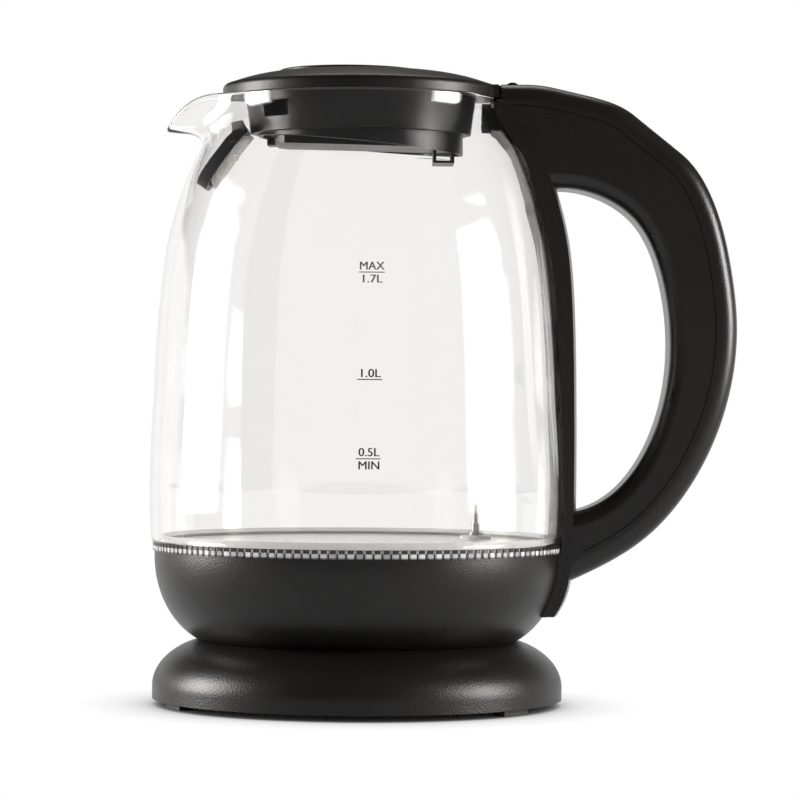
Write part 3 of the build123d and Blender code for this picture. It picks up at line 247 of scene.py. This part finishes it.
def add_litre_word(name, word, left, right, bottom, top):
    """A printed word: flat letters made a mesh, struck twice a little apart across so that their strokes
    are bold, fitted to their place and wrapped round the glass."""
    letters = bpy.data.curves.new(name, "FONT")
    letters.body = word
    letters.resolution_u = 4
    flat = bpy.data.objects.new(name, letters)
    bpy.context.scene.collection.objects.link(flat)
    bpy.context.view_layer.update()
    mesh = bpy.data.meshes.new_from_object(flat.evaluated_get(bpy.context.evaluated_depsgraph_get()))
    bpy.data.objects.remove(flat)
    bpy.data.curves.remove(letters)
    flat_points = np.empty(3 * len(mesh.vertices), dtype=np.float32)
    mesh.vertices.foreach_get("co", flat_points)
    flat_points = flat_points.reshape(-1, 3)[:, :2].astype(float)
    corners = np.empty(len(mesh.loops), dtype=np.int32)
    mesh.loops.foreach_get("vertex_index", corners)
    faces = corners.reshape(-1, 3)
    bpy.data.meshes.remove(mesh)
    low, high = flat_points.min(axis=0), flat_points.max(axis=0)
    share = (flat_points - low) / (high - low)
    x = left + BOLD_STEP + share[:, 0] * (right - left - 2 * BOLD_STEP)
    z = bottom + share[:, 1] * (top - bottom)
    strikes = np.concatenate([on_jug(x - BOLD_STEP, z), on_jug(x + BOLD_STEP, z, SECOND_LIFT)])
    return add_piece(name, strikes, np.concatenate([faces, faces + len(x)]), "kettle", False)


def add_litre_line(name, left, right, middle):
    """A printed line: a narrow strip wrapped round the glass."""
    edges = (middle - LINE_HEIGHT / 2, middle + LINE_HEIGHT / 2)
    x, z = np.meshgrid(np.linspace(left, right, LINE_POINTS), edges)
    return add_piece(name, on_jug(x.ravel(), z.ravel()), grid_faces(2, LINE_POINTS), "kettle")


def tubes(paths, radius, sides=5):
    """Thin wires: a small ring carried along each path of an array of shape (wires, points, 3)."""
    along = unit(np.gradient(paths, axis=1))
    side = unit(np.cross(along, np.array([0.31, 0.52, 0.79])))
    up = np.cross(along, side)
    turn = np.arange(sides) * 2 * math.pi / sides
    across, upward = (wave(turn)[None, None, :, None] for wave in (np.cos, np.sin))
    ring = paths[:, :, None] + radius * (across * side[:, :, None] + upward * up[:, :, None])
    wires, count = paths.shape[:2]
    faces = grid_faces(count, sides, False, True)
    start = (np.arange(wires) * count * sides)[:, None, None]
    return ring.reshape(-1, 3), (faces[None] + start).reshape(-1, 4)


def add_strainer_mesh():
    """Two sets of crossing wires on a sheet that arches across the strainer's frame and bellies into the
    jug. The sheet's half width is a straight side that ends in a quarter circle at each corner, and its
    belly is a parabola across that width."""
    low, high = (np.array(corner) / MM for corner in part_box("strainer_mesh"))
    down = unit(STRAINER_BOTTOM - STRAINER_TOP)
    inward = np.array([-down[2], 0.0, down[0]])
    sideways = np.array([0.0, 1.0, 0.0])
    middle = (STRAINER_TOP + STRAINER_BOTTOM) / 2
    half_width = 0.5 * (high[1] - low[1])
    half_length = 0.5 * np.linalg.norm(STRAINER_BOTTOM - STRAINER_TOP) - STRAINER_EDGE

    def sheet(across, length):
        """Points on the sheet, from shares of its half width and distances along it."""
        past = (np.abs(length) - half_length + STRAINER_CORNER) / STRAINER_CORNER
        room = np.sqrt(np.clip(1 - np.clip(past, 0, 1) ** 2, 0, 1))
        y = across * (half_width - STRAINER_CORNER * (1 - room))
        sag = STRAINER_BELLY * (1 - (y / half_width) ** 2)
        return middle + length[..., None] * down + y[..., None] * sideways + sag[..., None] * inward

    run = np.linspace(-half_length, half_length, LONG_WIRE_POINTS)
    cross = np.linspace(-1, 1, SHORT_WIRE_POINTS)
    places = np.linspace(-LONG_WIRE_REACH, LONG_WIRE_REACH, LONG_WIRES)
    heights = np.linspace(run[0], run[-1], SHORT_WIRES)
    long_wires = sheet(*np.meshgrid(places, run, indexing="ij"))
    short_wires = sheet(*np.meshgrid(cross, heights, indexing="xy"))
    points_a, faces_a = tubes(long_wires, WIRE_RADIUS)
    points_b, faces_b = tubes(short_wires, WIRE_RADIUS)
    points = np.concatenate([points_a, points_b]) * MM
    faces = np.concatenate([faces_a, faces_b + len(points_a)])
    return add_piece("strainer_wires", points, faces, "kettle")


def node_points(name):
    """The corners of a node's mesh in millimetres."""
    mesh = frame["nodes"][name].data
    points = np.empty(3 * len(mesh.vertices), dtype=np.float32)
    mesh.vertices.foreach_get("co", points)
    return points.reshape(-1, 3).astype(float) / MM


def add_handle_joint():
    """The joint between the handle's two halves: on each flat side, the grip's corners that lie near the
    cover's, put in order round the finger gap, and a narrow strip carried along the smooth line through
    them."""
    grip, cover = node_points("handle_grip"), node_points("handle_cover")
    side = np.abs(grip[:, 1]).max()
    grip_edge = np.unique(np.round(grip[grip[:, 1] < SIDE_SLACK - side][:, (0, 2)], 2), axis=0)
    cover_edge = cover[cover[:, 1] < SIDE_SLACK - side][:, (0, 2)]
    apart = np.linalg.norm(grip_edge[:, None] - cover_edge[None], axis=-1).min(axis=1)
    clear_of_strap = grip_edge[:, 0] > np.where(grip_edge[:, 1] > FINGER_GAP[1], *JOINT_ENDS)
    edge = grip_edge[(apart < JOINT_REACH) & clear_of_strap]
    edge = edge[np.argsort(-np.arctan2(edge[:, 1] - FINGER_GAP[1], edge[:, 0] - FINGER_GAP[0]))]
    line = smooth_line(edge, JOINT_POINTS)
    along = unit(np.gradient(line, axis=0))
    out = np.stack([-along[:, 1], along[:, 0]], axis=1)
    rows = np.stack([line - JOINT_WIDTH / 2 * out, line + JOINT_WIDTH / 2 * out])
    lift = side + JOINT_LIFT
    near = np.stack([rows[..., 0], np.full(rows.shape[:2], -lift), rows[..., 1]], axis=-1)
    far = near[::-1] * np.array([1.0, -1.0, 1.0])
    points = np.concatenate([near.reshape(-1, 3), far.reshape(-1, 3)]) * MM
    faces = grid_faces(2, JOINT_POINTS)
    faces = np.concatenate([faces, faces + 2 * JOINT_POINTS])
    return add_piece("handle_joint", points, faces, "kettle", False)


# Materials


def shader(name):
    """A new material and its node tree, with the surface shader in it."""
    material = bpy.data.materials.new(name)
    material.use_nodes = True
    tree = material.node_tree
    return material, tree, tree.nodes["Principled BSDF"]


def grain_group():
    """Moulded surface: a fine pebble that bumps the surface, and slow clouds that change its gloss."""
    group = bpy.data.node_groups.new("moulded_grain", "ShaderNodeTree")
    for socket in ("Grain Scale", "Grain Depth", "Gloss Low", "Gloss High"):
        group.interface.new_socket(socket, in_out="INPUT", socket_type="NodeSocketFloat")
    group.interface.new_socket("Roughness", in_out="OUTPUT", socket_type="NodeSocketFloat")
    group.interface.new_socket("Normal", in_out="OUTPUT", socket_type="NodeSocketVector")
    nodes, links = group.nodes, group.links
    given = nodes.new("NodeGroupInput")
    result = nodes.new("NodeGroupOutput")
    place = nodes.new("ShaderNodeTexCoord")
    pebble = nodes.new("ShaderNodeTexNoise")
    pebble.inputs["Detail"].default_value = 1.0
    cloud = nodes.new("ShaderNodeTexNoise")
    cloud.inputs["Scale"].default_value = 38.0
    cloud.inputs["Detail"].default_value = 4.0
    spread = nodes.new("ShaderNodeMapRange")
    spread.inputs["From Min"].default_value = 0.3
    spread.inputs["From Max"].default_value = 0.7
    bump = nodes.new("ShaderNodeBump")
    bump.inputs["Distance"].default_value = 0.0002
    links.new(place.outputs["Object"], pebble.inputs["Vector"])
    links.new(place.outputs["Object"], cloud.inputs["Vector"])
    links.new(given.outputs["Grain Scale"], pebble.inputs["Scale"])
    links.new(cloud.outputs["Fac"], spread.inputs["Value"])
    links.new(given.outputs["Gloss Low"], spread.inputs["To Min"])
    links.new(given.outputs["Gloss High"], spread.inputs["To Max"])
    links.new(given.outputs["Grain Depth"], bump.inputs["Strength"])
    links.new(pebble.outputs["Fac"], bump.inputs["Height"])
    links.new(spread.outputs["Result"], result.inputs["Roughness"])
    links.new(bump.outputs["Normal"], result.inputs["Normal"])
    return group


grain = grain_group()


def grained(name, colour, low, high, depth=0.2, scale=2400.0, metallic=0.0, specular=0.5):
    """A plain coloured surface with moulded grain."""
    material, tree, surface = shader(name)
    surface.inputs["Base Color"].default_value = (*colour, 1.0)
    surface.inputs["Metallic"].default_value = metallic
    surface.inputs["Specular IOR Level"].default_value = specular
    finish = tree.nodes.new("ShaderNodeGroup")
    finish.node_tree = grain
    finish.inputs["Grain Scale"].default_value = scale
    finish.inputs["Grain Depth"].default_value = depth
    finish.inputs["Gloss Low"].default_value = low
    finish.inputs["Gloss High"].default_value = high
    tree.links.new(finish.outputs["Roughness"], surface.inputs["Roughness"])
    tree.links.new(finish.outputs["Normal"], surface.inputs["Normal"])
    return material


def clear(name, colour, roughness, ior):
    """A see-through surface."""
    material, _, surface = shader(name)
    surface.inputs["Base Color"].default_value = (*colour, 1.0)
    surface.inputs["Roughness"].default_value = roughness
    surface.inputs["IOR"].default_value = ior
    surface.inputs["Transmission Weight"].default_value = 1.0
    return material


def arithmetic(tree, operation, first, second=None):
    """The result of one step of arithmetic on a socket, and on another socket or a number."""
    node = tree.nodes.new("ShaderNodeMath")
    node.operation = operation
    tree.links.new(first, node.inputs[0])
    if isinstance(second, float):
        node.inputs[1].default_value = second
    elif second:
        tree.links.new(second, node.inputs[1])
    return node.outputs[0]


def place_on_axes(tree):
    """Sockets with the place on the object along each axis, in metres."""
    split = tree.nodes.new("ShaderNodeSeparateXYZ")
    tree.links.new(tree.nodes.new("ShaderNodeTexCoord").outputs["Object"], split.inputs[0])
    return split.outputs["X"], split.outputs["Y"], split.outputs["Z"]


def from_axis(tree, across, deep):
    """The distance from the kettle's upright axis."""
    squares = [arithmetic(tree, "MULTIPLY", side, side) for side in (across, deep)]
    return arithmetic(tree, "SQRT", arithmetic(tree, "ADD", *squares))


def spun_steel(name, colour, low, high):
    """Steel turned on its axis: fine rings of chance depth about the axis change its gloss and bump it."""
    material, tree, surface = shader(name)
    across, deep, _ = place_on_axes(tree)
    rings = tree.nodes.new("ShaderNodeTexNoise")
    rings.noise_dimensions = "1D"
    rings.inputs["Scale"].default_value = 2600.0
    rings.inputs["Detail"].default_value = 2.0
    tree.links.new(from_axis(tree, across, deep), rings.inputs["W"])
    gloss = tree.nodes.new("ShaderNodeMapRange")
    gloss.inputs["From Min"].default_value = 0.3
    gloss.inputs["From Max"].default_value = 0.7
    gloss.inputs["To Min"].default_value = low
    gloss.inputs["To Max"].default_value = high
    tree.links.new(rings.outputs["Fac"], gloss.inputs["Value"])
    tree.links.new(gloss.outputs["Result"], surface.inputs["Roughness"])
    bump = tree.nodes.new("ShaderNodeBump")
    bump.inputs["Distance"].default_value = 0.0001
    bump.inputs["Strength"].default_value = 0.08
    tree.links.new(rings.outputs["Fac"], bump.inputs["Height"])
    tree.links.new(bump.outputs["Normal"], surface.inputs["Normal"])
    surface.inputs["Base Color"].default_value = (*colour, 1.0)
    surface.inputs["Metallic"].default_value = 0.4
    return material


def ribbed_clear(name, colour, dark, count):
    """A cloudy clear ring with upright ribs, on which light and shade are painted: on its outer face the angle
    about the axis tells rib from slot. A dash of painted shade lies on the upper half of each rib and thin
    notches of painted shade between the ribs on the lower half, and painted shade darkens the face's top and
    bottom edges. The rest of the face carries painted glints, brighter or dimmer by chance from rib to rib. A
    painted shadow darkens the foot of its lip, where the glass stands against it."""
    material, tree, surface = shader(name)
    nodes, links = tree.nodes, tree.links
    step = partial(arithmetic, tree)
    across, deep, high = place_on_axes(tree)
    turn = step("MULTIPLY", step("ARCTAN2", deep, across), count / (2 * math.pi))
    off = step("ABSOLUTE", step("SUBTRACT", step("FRACT", step("ADD", turn, 0.5)), 0.5))
    radius = from_axis(tree, across, deep)
    # Painted shade: dashes on the ribs' upper halves, notches on the lower halves, and the face's edges
    above = step("GREATER_THAN", high, SEAL_SPLIT)
    below = step("LESS_THAN", high, SEAL_SPLIT)
    dash_shade = step("MULTIPLY", above, step("LESS_THAN", off, PAINTED_DASH_SHARE))
    notch_shade = step("MULTIPLY", below, step("GREATER_THAN", off, PAINTED_NOTCH_SHARE))
    from_middle = step("ABSOLUTE", step("SUBTRACT", high, SEAL_FACE_MIDDLE))
    edges = step("MULTIPLY", step("GREATER_THAN", from_middle, SEAL_FACE_HALF), EDGE_SHADE)
    painted_slot_shade = step("MAXIMUM", step("MAXIMUM", dash_shade, notch_shade), edges)
    outer = step("MULTIPLY", painted_slot_shade, step("GREATER_THAN", radius, SEAL_FACE_RADIUS))
    inside = step("LESS_THAN", radius, SEAL_FACE_RADIUS)
    # Painted shadow on the foot of the lip, where the glass stands against it
    foot_low, foot_high = SEAL_LIP_FOOT
    foot = step("MULTIPLY", step("GREATER_THAN", high, foot_low), step("LESS_THAN", high, foot_high))
    # Painted glints: the face's light parts are brighter or dimmer by chance from rib to rib
    chance = nodes.new("ShaderNodeTexWhiteNoise")
    chance.noise_dimensions = "1D"
    links.new(step("FLOOR", step("ADD", turn, 0.5)), chance.inputs["W"])
    painted_glint = nodes.new("ShaderNodeMix")
    painted_glint.data_type = "RGBA"
    painted_glint.inputs["A"].default_value = (*(DIMMEST_PAINTED_GLINT * c for c in colour), 1.0)
    painted_glint.inputs["B"].default_value = (*colour, 1.0)
    links.new(step("MAXIMUM", chance.outputs["Value"], inside), painted_glint.inputs["Factor"])
    shade = nodes.new("ShaderNodeMix")
    shade.data_type = "RGBA"
    links.new(painted_glint.outputs["Result"], shade.inputs["A"])
    shade.inputs["B"].default_value = (*dark, 1.0)
    links.new(step("MAXIMUM", outer, step("MULTIPLY", foot, FOOT_SHADE)), shade.inputs["Factor"])
    links.new(shade.outputs["Result"], surface.inputs["Base Color"])
    surface.inputs["Roughness"].default_value = 0.15
    surface.inputs["IOR"].default_value = 1.41
    surface.inputs["Transmission Weight"].default_value = 0.55
    return material


finishes = {
    "black_satin": grained("black_satin", (0.0052, 0.0046, 0.0044), 0.33, 0.39, 0.4, 1500.0, specular=0.26),
    "black_matte": grained("black_matte", (0.0056, 0.005, 0.0049), 0.32, 0.4, 0.1, specular=0.26),
    "rubber": grained("rubber", (0.012, 0.012, 0.012), 0.62, 0.75, 0.3, 1800.0),
    "steel": grained("steel", (0.62, 0.61, 0.59), 0.22, 0.34, 0.06, 900.0, 1.0),
    "aluminium": grained("aluminium", (0.66, 0.66, 0.67), 0.34, 0.48, 0.15, 700.0, 1.0),
    "brass": grained("brass", (0.72, 0.55, 0.26), 0.2, 0.32, 0.05, 900.0, 1.0),
    "white_plastic": grained("white_plastic", (0.78, 0.77, 0.74), 0.4, 0.5, 0.15),
    "silicone": grained("silicone", (0.7, 0.7, 0.68), 0.45, 0.55, 0.1),
    "grey_mesh": grained("grey_mesh", (0.8, 0.79, 0.77), 0.3, 0.42, 0.05, 1500.0),
    "glass": clear("glass", (0.975, 0.964, 0.954), 0.0, 1.46),
    # The seal's material paints shade, a shadow and glints onto its ribs
    "clear_silicone": ribbed_clear("clear_silicone", (0.97, 0.965, 0.955), (0.03, 0.03, 0.03), SEAL_RIBS),
}
dark_ink = grained("dark_ink", (0.012, 0.012, 0.012), 0.5, 0.6, 0.05)
handle_satin = grained("handle_satin", (0.0058, 0.0051, 0.0049), 0.26, 0.31, 0.25, specular=0.3)
bright_steel = grained("bright_steel", (0.36, 0.35, 0.34), 0.26, 0.34, 0.04, 900.0, 1.0)
plate_steel = spun_steel("plate_steel", (0.9, 0.89, 0.87), 0.22, 0.34)
joint_dark = grained("joint_dark", (0.0015, 0.0014, 0.0014), 0.6, 0.7, 0.05, specular=0.1)
faded_ink = grained("faded_ink", (0.06, 0.06, 0.06), 0.5, 0.6, 0.05)


def dress(piece, material):
    """Gives a piece or a node one material."""
    piece.data.materials.clear()
    piece.data.materials.append(material)


for entry in frame["record"]["subparts"]:
    dress(frame["nodes"][entry["node"]], finishes[entry["material_slot"]])
for held in ("handle_grip", "handle_cover", "back_strap", "release_button"):
    dress(frame["nodes"][held], handle_satin)

for polished in ("temperature_probe", "probe_nut"):
    dress(frame["nodes"][polished], bright_steel)
dress(frame["nodes"]["heater_plate"], plate_steel)

joint = add_handle_joint()
dress(joint, joint_dark)

jug = add_glass_jug()
dress(jug, finishes["glass"])
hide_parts("glass_jug")

wires = add_strainer_mesh()
dress(wires, finishes["grey_mesh"])
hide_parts("strainer_mesh")

for piece, ink in (
    (add_litre_word("mark_max", "MAX", 0.9, 9.9, 162.9, 165.8), faded_ink),
    (add_litre_line("line_max", 0.5, 9.9, 162.0), faded_ink),
    (add_litre_word("mark_17", "1.7L", 2.0, 9.2, 158.2, 161.1), faded_ink),
    (add_litre_word("mark_10", "1.0L", 1.6, 8.8, 124.1, 127.1), dark_ink),
    (add_litre_line("line_10", 0.2, 9.2, 123.3), dark_ink),
    (add_litre_word("mark_05", "0.5L", 0.9, 8.5, 95.7, 98.7), dark_ink),
    (add_litre_line("line_05", 0.0, 8.9, 94.8), dark_ink),
    (add_litre_word("mark_min", "MIN", 0.9, 8.5, 91.0, 93.9), dark_ink),
):
    dress(piece, ink)

# Studio

LAMP_COLOUR = (1.0, 0.96, 0.93)
SIDE_LAMP_SIZE = (0.7, 0.8)
SIDE_LAMP_AIM = (0.0, 0.0, 0.3)
FLOOR_Z = -0.0002
FLOOR_REACH = 3.0
BACKDROP_REACH = 2.4
BACKDROP_Y = 1.2
BACKDROP_Z = (0.04, 0.5)
WORLD_LIGHT = 0.55
WORLD_IN_REFLECTIONS = 0.1
CAMERA_PLACE = (0.0157, -1.31, 0.1160)
CAMERA_LENS = 154.3
CAMERA_ROLL = math.radians(-0.4)


def add_area(name, place, size, strength, aim=(0.0, 0.0, 0.12)):
    """A rectangular lamp that faces a point, and fades towards its edges as a softbox does."""
    lamp = bpy.data.lights.new(name, "AREA")
    lamp.shape = "RECTANGLE"
    lamp.size, lamp.size_y = size
    lamp.energy = strength
    lamp.color = LAMP_COLOUR
    lamp.use_nodes = True
    tree = lamp.node_tree
    nodes, links = tree.nodes, tree.links
    split = nodes.new("ShaderNodeSeparateXYZ")
    links.new(nodes.new("ShaderNodeNewGeometry").outputs["Parametric"], split.inputs[0])
    fades = []
    for axis in ("X", "Y"):
        fade = nodes.new("ShaderNodeMapRange")
        fade.interpolation_type = "SMOOTHSTEP"
        fade.inputs["From Max"].default_value = 0.25
        links.new(arithmetic(tree, "PINGPONG", split.outputs[axis], 0.5), fade.inputs["Value"])
        fades.append(fade.outputs["Result"])
    links.new(arithmetic(tree, "MULTIPLY", *fades), nodes["Emission"].inputs["Strength"])
    lamp_object = bpy.data.objects.new(name, lamp)
    bpy.context.scene.collection.objects.link(lamp_object)
    way = np.array(place) - np.array(aim)
    flat = math.hypot(way[0], way[1])
    lamp_object.location = place
    turned = math.atan2(way[1], way[0]) + math.pi / 2
    lamp_object.rotation_euler = (math.atan2(flat, way[2]), 0.0, turned)


def seen_white(tree, plain, rays, shade=None, straight=False):
    """Joins a plain shader with white for some kinds of ray: looking straight at it, by reflection, or through
    glass. Where only straight looks count, a ray that another surface has sent on is left out."""
    nodes, links = tree.nodes, tree.links
    path = nodes.new("ShaderNodeLightPath")
    share = path.outputs[rays[0]]
    for ray in rays[1:]:
        share = arithmetic(tree, "MAXIMUM", share, path.outputs[ray])
    if straight:
        sent_on = arithmetic(tree, "ADD", path.outputs["Diffuse Depth"], path.outputs["Glossy Depth"])
        share = arithmetic(tree, "MULTIPLY", share, arithmetic(tree, "LESS_THAN", sent_on, 0.5))
    white = nodes.new("ShaderNodeEmission" if plain.type == "BSDF_DIFFUSE" else "ShaderNodeBackground")
    white.inputs["Strength"].default_value = 1.0
    white.inputs["Color"].default_value = (1.0, 1.0, 1.0, 1.0)
    if shade:
        links.new(shade, white.inputs["Color"])
    blend = nodes.new("ShaderNodeMixShader")
    links.new(share, blend.inputs[0])
    links.new(plain.outputs[0], blend.inputs[1])
    links.new(white.outputs[0], blend.inputs[2])
    return blend


def add_sheet(name, points, shaded):
    """A large pale sheet of the studio that is seen white, darker close to the object where it is shaded,
    and is clear from behind."""
    mesh = bpy.data.meshes.new(name)
    mesh.from_pydata(points, [], [(0, 1, 2, 3)])
    sheet = bpy.data.objects.new(name, mesh)
    bpy.context.scene.collection.objects.link(sheet)
    material = bpy.data.materials.new(name)
    material.use_nodes = True
    tree = material.node_tree
    tree.nodes.remove(tree.nodes["Principled BSDF"])
    plain = tree.nodes.new("ShaderNodeBsdfDiffuse")
    plain.inputs["Color"].default_value = (0.8, 0.8, 0.8, 1.0)
    shade = None
    if shaded:
        near = tree.nodes.new("ShaderNodeAmbientOcclusion")
        near.inputs["Distance"].default_value = 0.03
        near.samples = 16
        shade = near.outputs["Color"]
    blend = seen_white(tree, plain, ("Is Camera Ray", "Is Glossy Ray", "Is Transmission Ray"), shade)
    sides = tree.nodes.new("ShaderNodeMixShader")
    tree.links.new(tree.nodes.new("ShaderNodeNewGeometry").outputs["Backfacing"], sides.inputs[0])
    tree.links.new(blend.outputs[0], sides.inputs[1])
    tree.links.new(tree.nodes.new("ShaderNodeBsdfTransparent").outputs[0], sides.inputs[2])
    tree.links.new(sides.outputs[0], tree.nodes["Material Output"].inputs["Surface"])
    sheet.data.materials.append(material)


floor_corners = [(-1, -1), (1, -1), (1, 1), (-1, 1)]
add_sheet("floor", [(FLOOR_REACH * x, FLOOR_REACH * y, FLOOR_Z) for x, y in floor_corners], True)
backdrop_low, backdrop_high = BACKDROP_Z
backdrop_corners = [(-1, backdrop_low), (1, backdrop_low), (1, backdrop_high), (-1, backdrop_high)]
add_sheet("backdrop", [(BACKDROP_REACH * x, BACKDROP_Y, z) for x, z in backdrop_corners], False)
add_area("left_softbox", (-1.2, 0.1, 0.36), SIDE_LAMP_SIZE, 54.0, SIDE_LAMP_AIM)
add_area("right_softbox", (1.2, -0.3, 0.36), SIDE_LAMP_SIZE, 52.0, SIDE_LAMP_AIM)
add_area("top_softbox", (0.0, 0.7, 1.5), (1.2, 0.8), 14.0)

world = bpy.data.worlds.new("studio")
world.use_nodes = True
bpy.context.scene.world = world
tree = world.node_tree
sky = tree.nodes["Background"]
sky.inputs["Color"].default_value = (1.0, 1.0, 1.0, 1.0)
path = tree.nodes.new("ShaderNodeLightPath")
level = tree.nodes.new("ShaderNodeMapRange")
level.inputs["To Min"].default_value = WORLD_LIGHT
level.inputs["To Max"].default_value = WORLD_IN_REFLECTIONS
tree.links.new(path.outputs["Glossy Depth"], level.inputs["Value"])
tree.links.new(level.outputs["Result"], sky.inputs["Strength"])
backing = seen_white(tree, sky, ("Is Camera Ray", "Is Transmission Ray"), straight=True)
tree.links.new(backing.outputs[0], tree.nodes["World Output"].inputs["Surface"])

lens = bpy.data.cameras.new("camera")
lens.sensor_width = 36.0
lens.lens = CAMERA_LENS
camera = bpy.data.objects.new("camera", lens)
bpy.context.scene.collection.objects.link(camera)
camera.location = CAMERA_PLACE
camera.rotation_euler = (math.pi / 2, CAMERA_ROLL, 0.0)
bpy.context.scene.camera = camera
bpy.context.scene.view_settings.view_transform = "Standard"
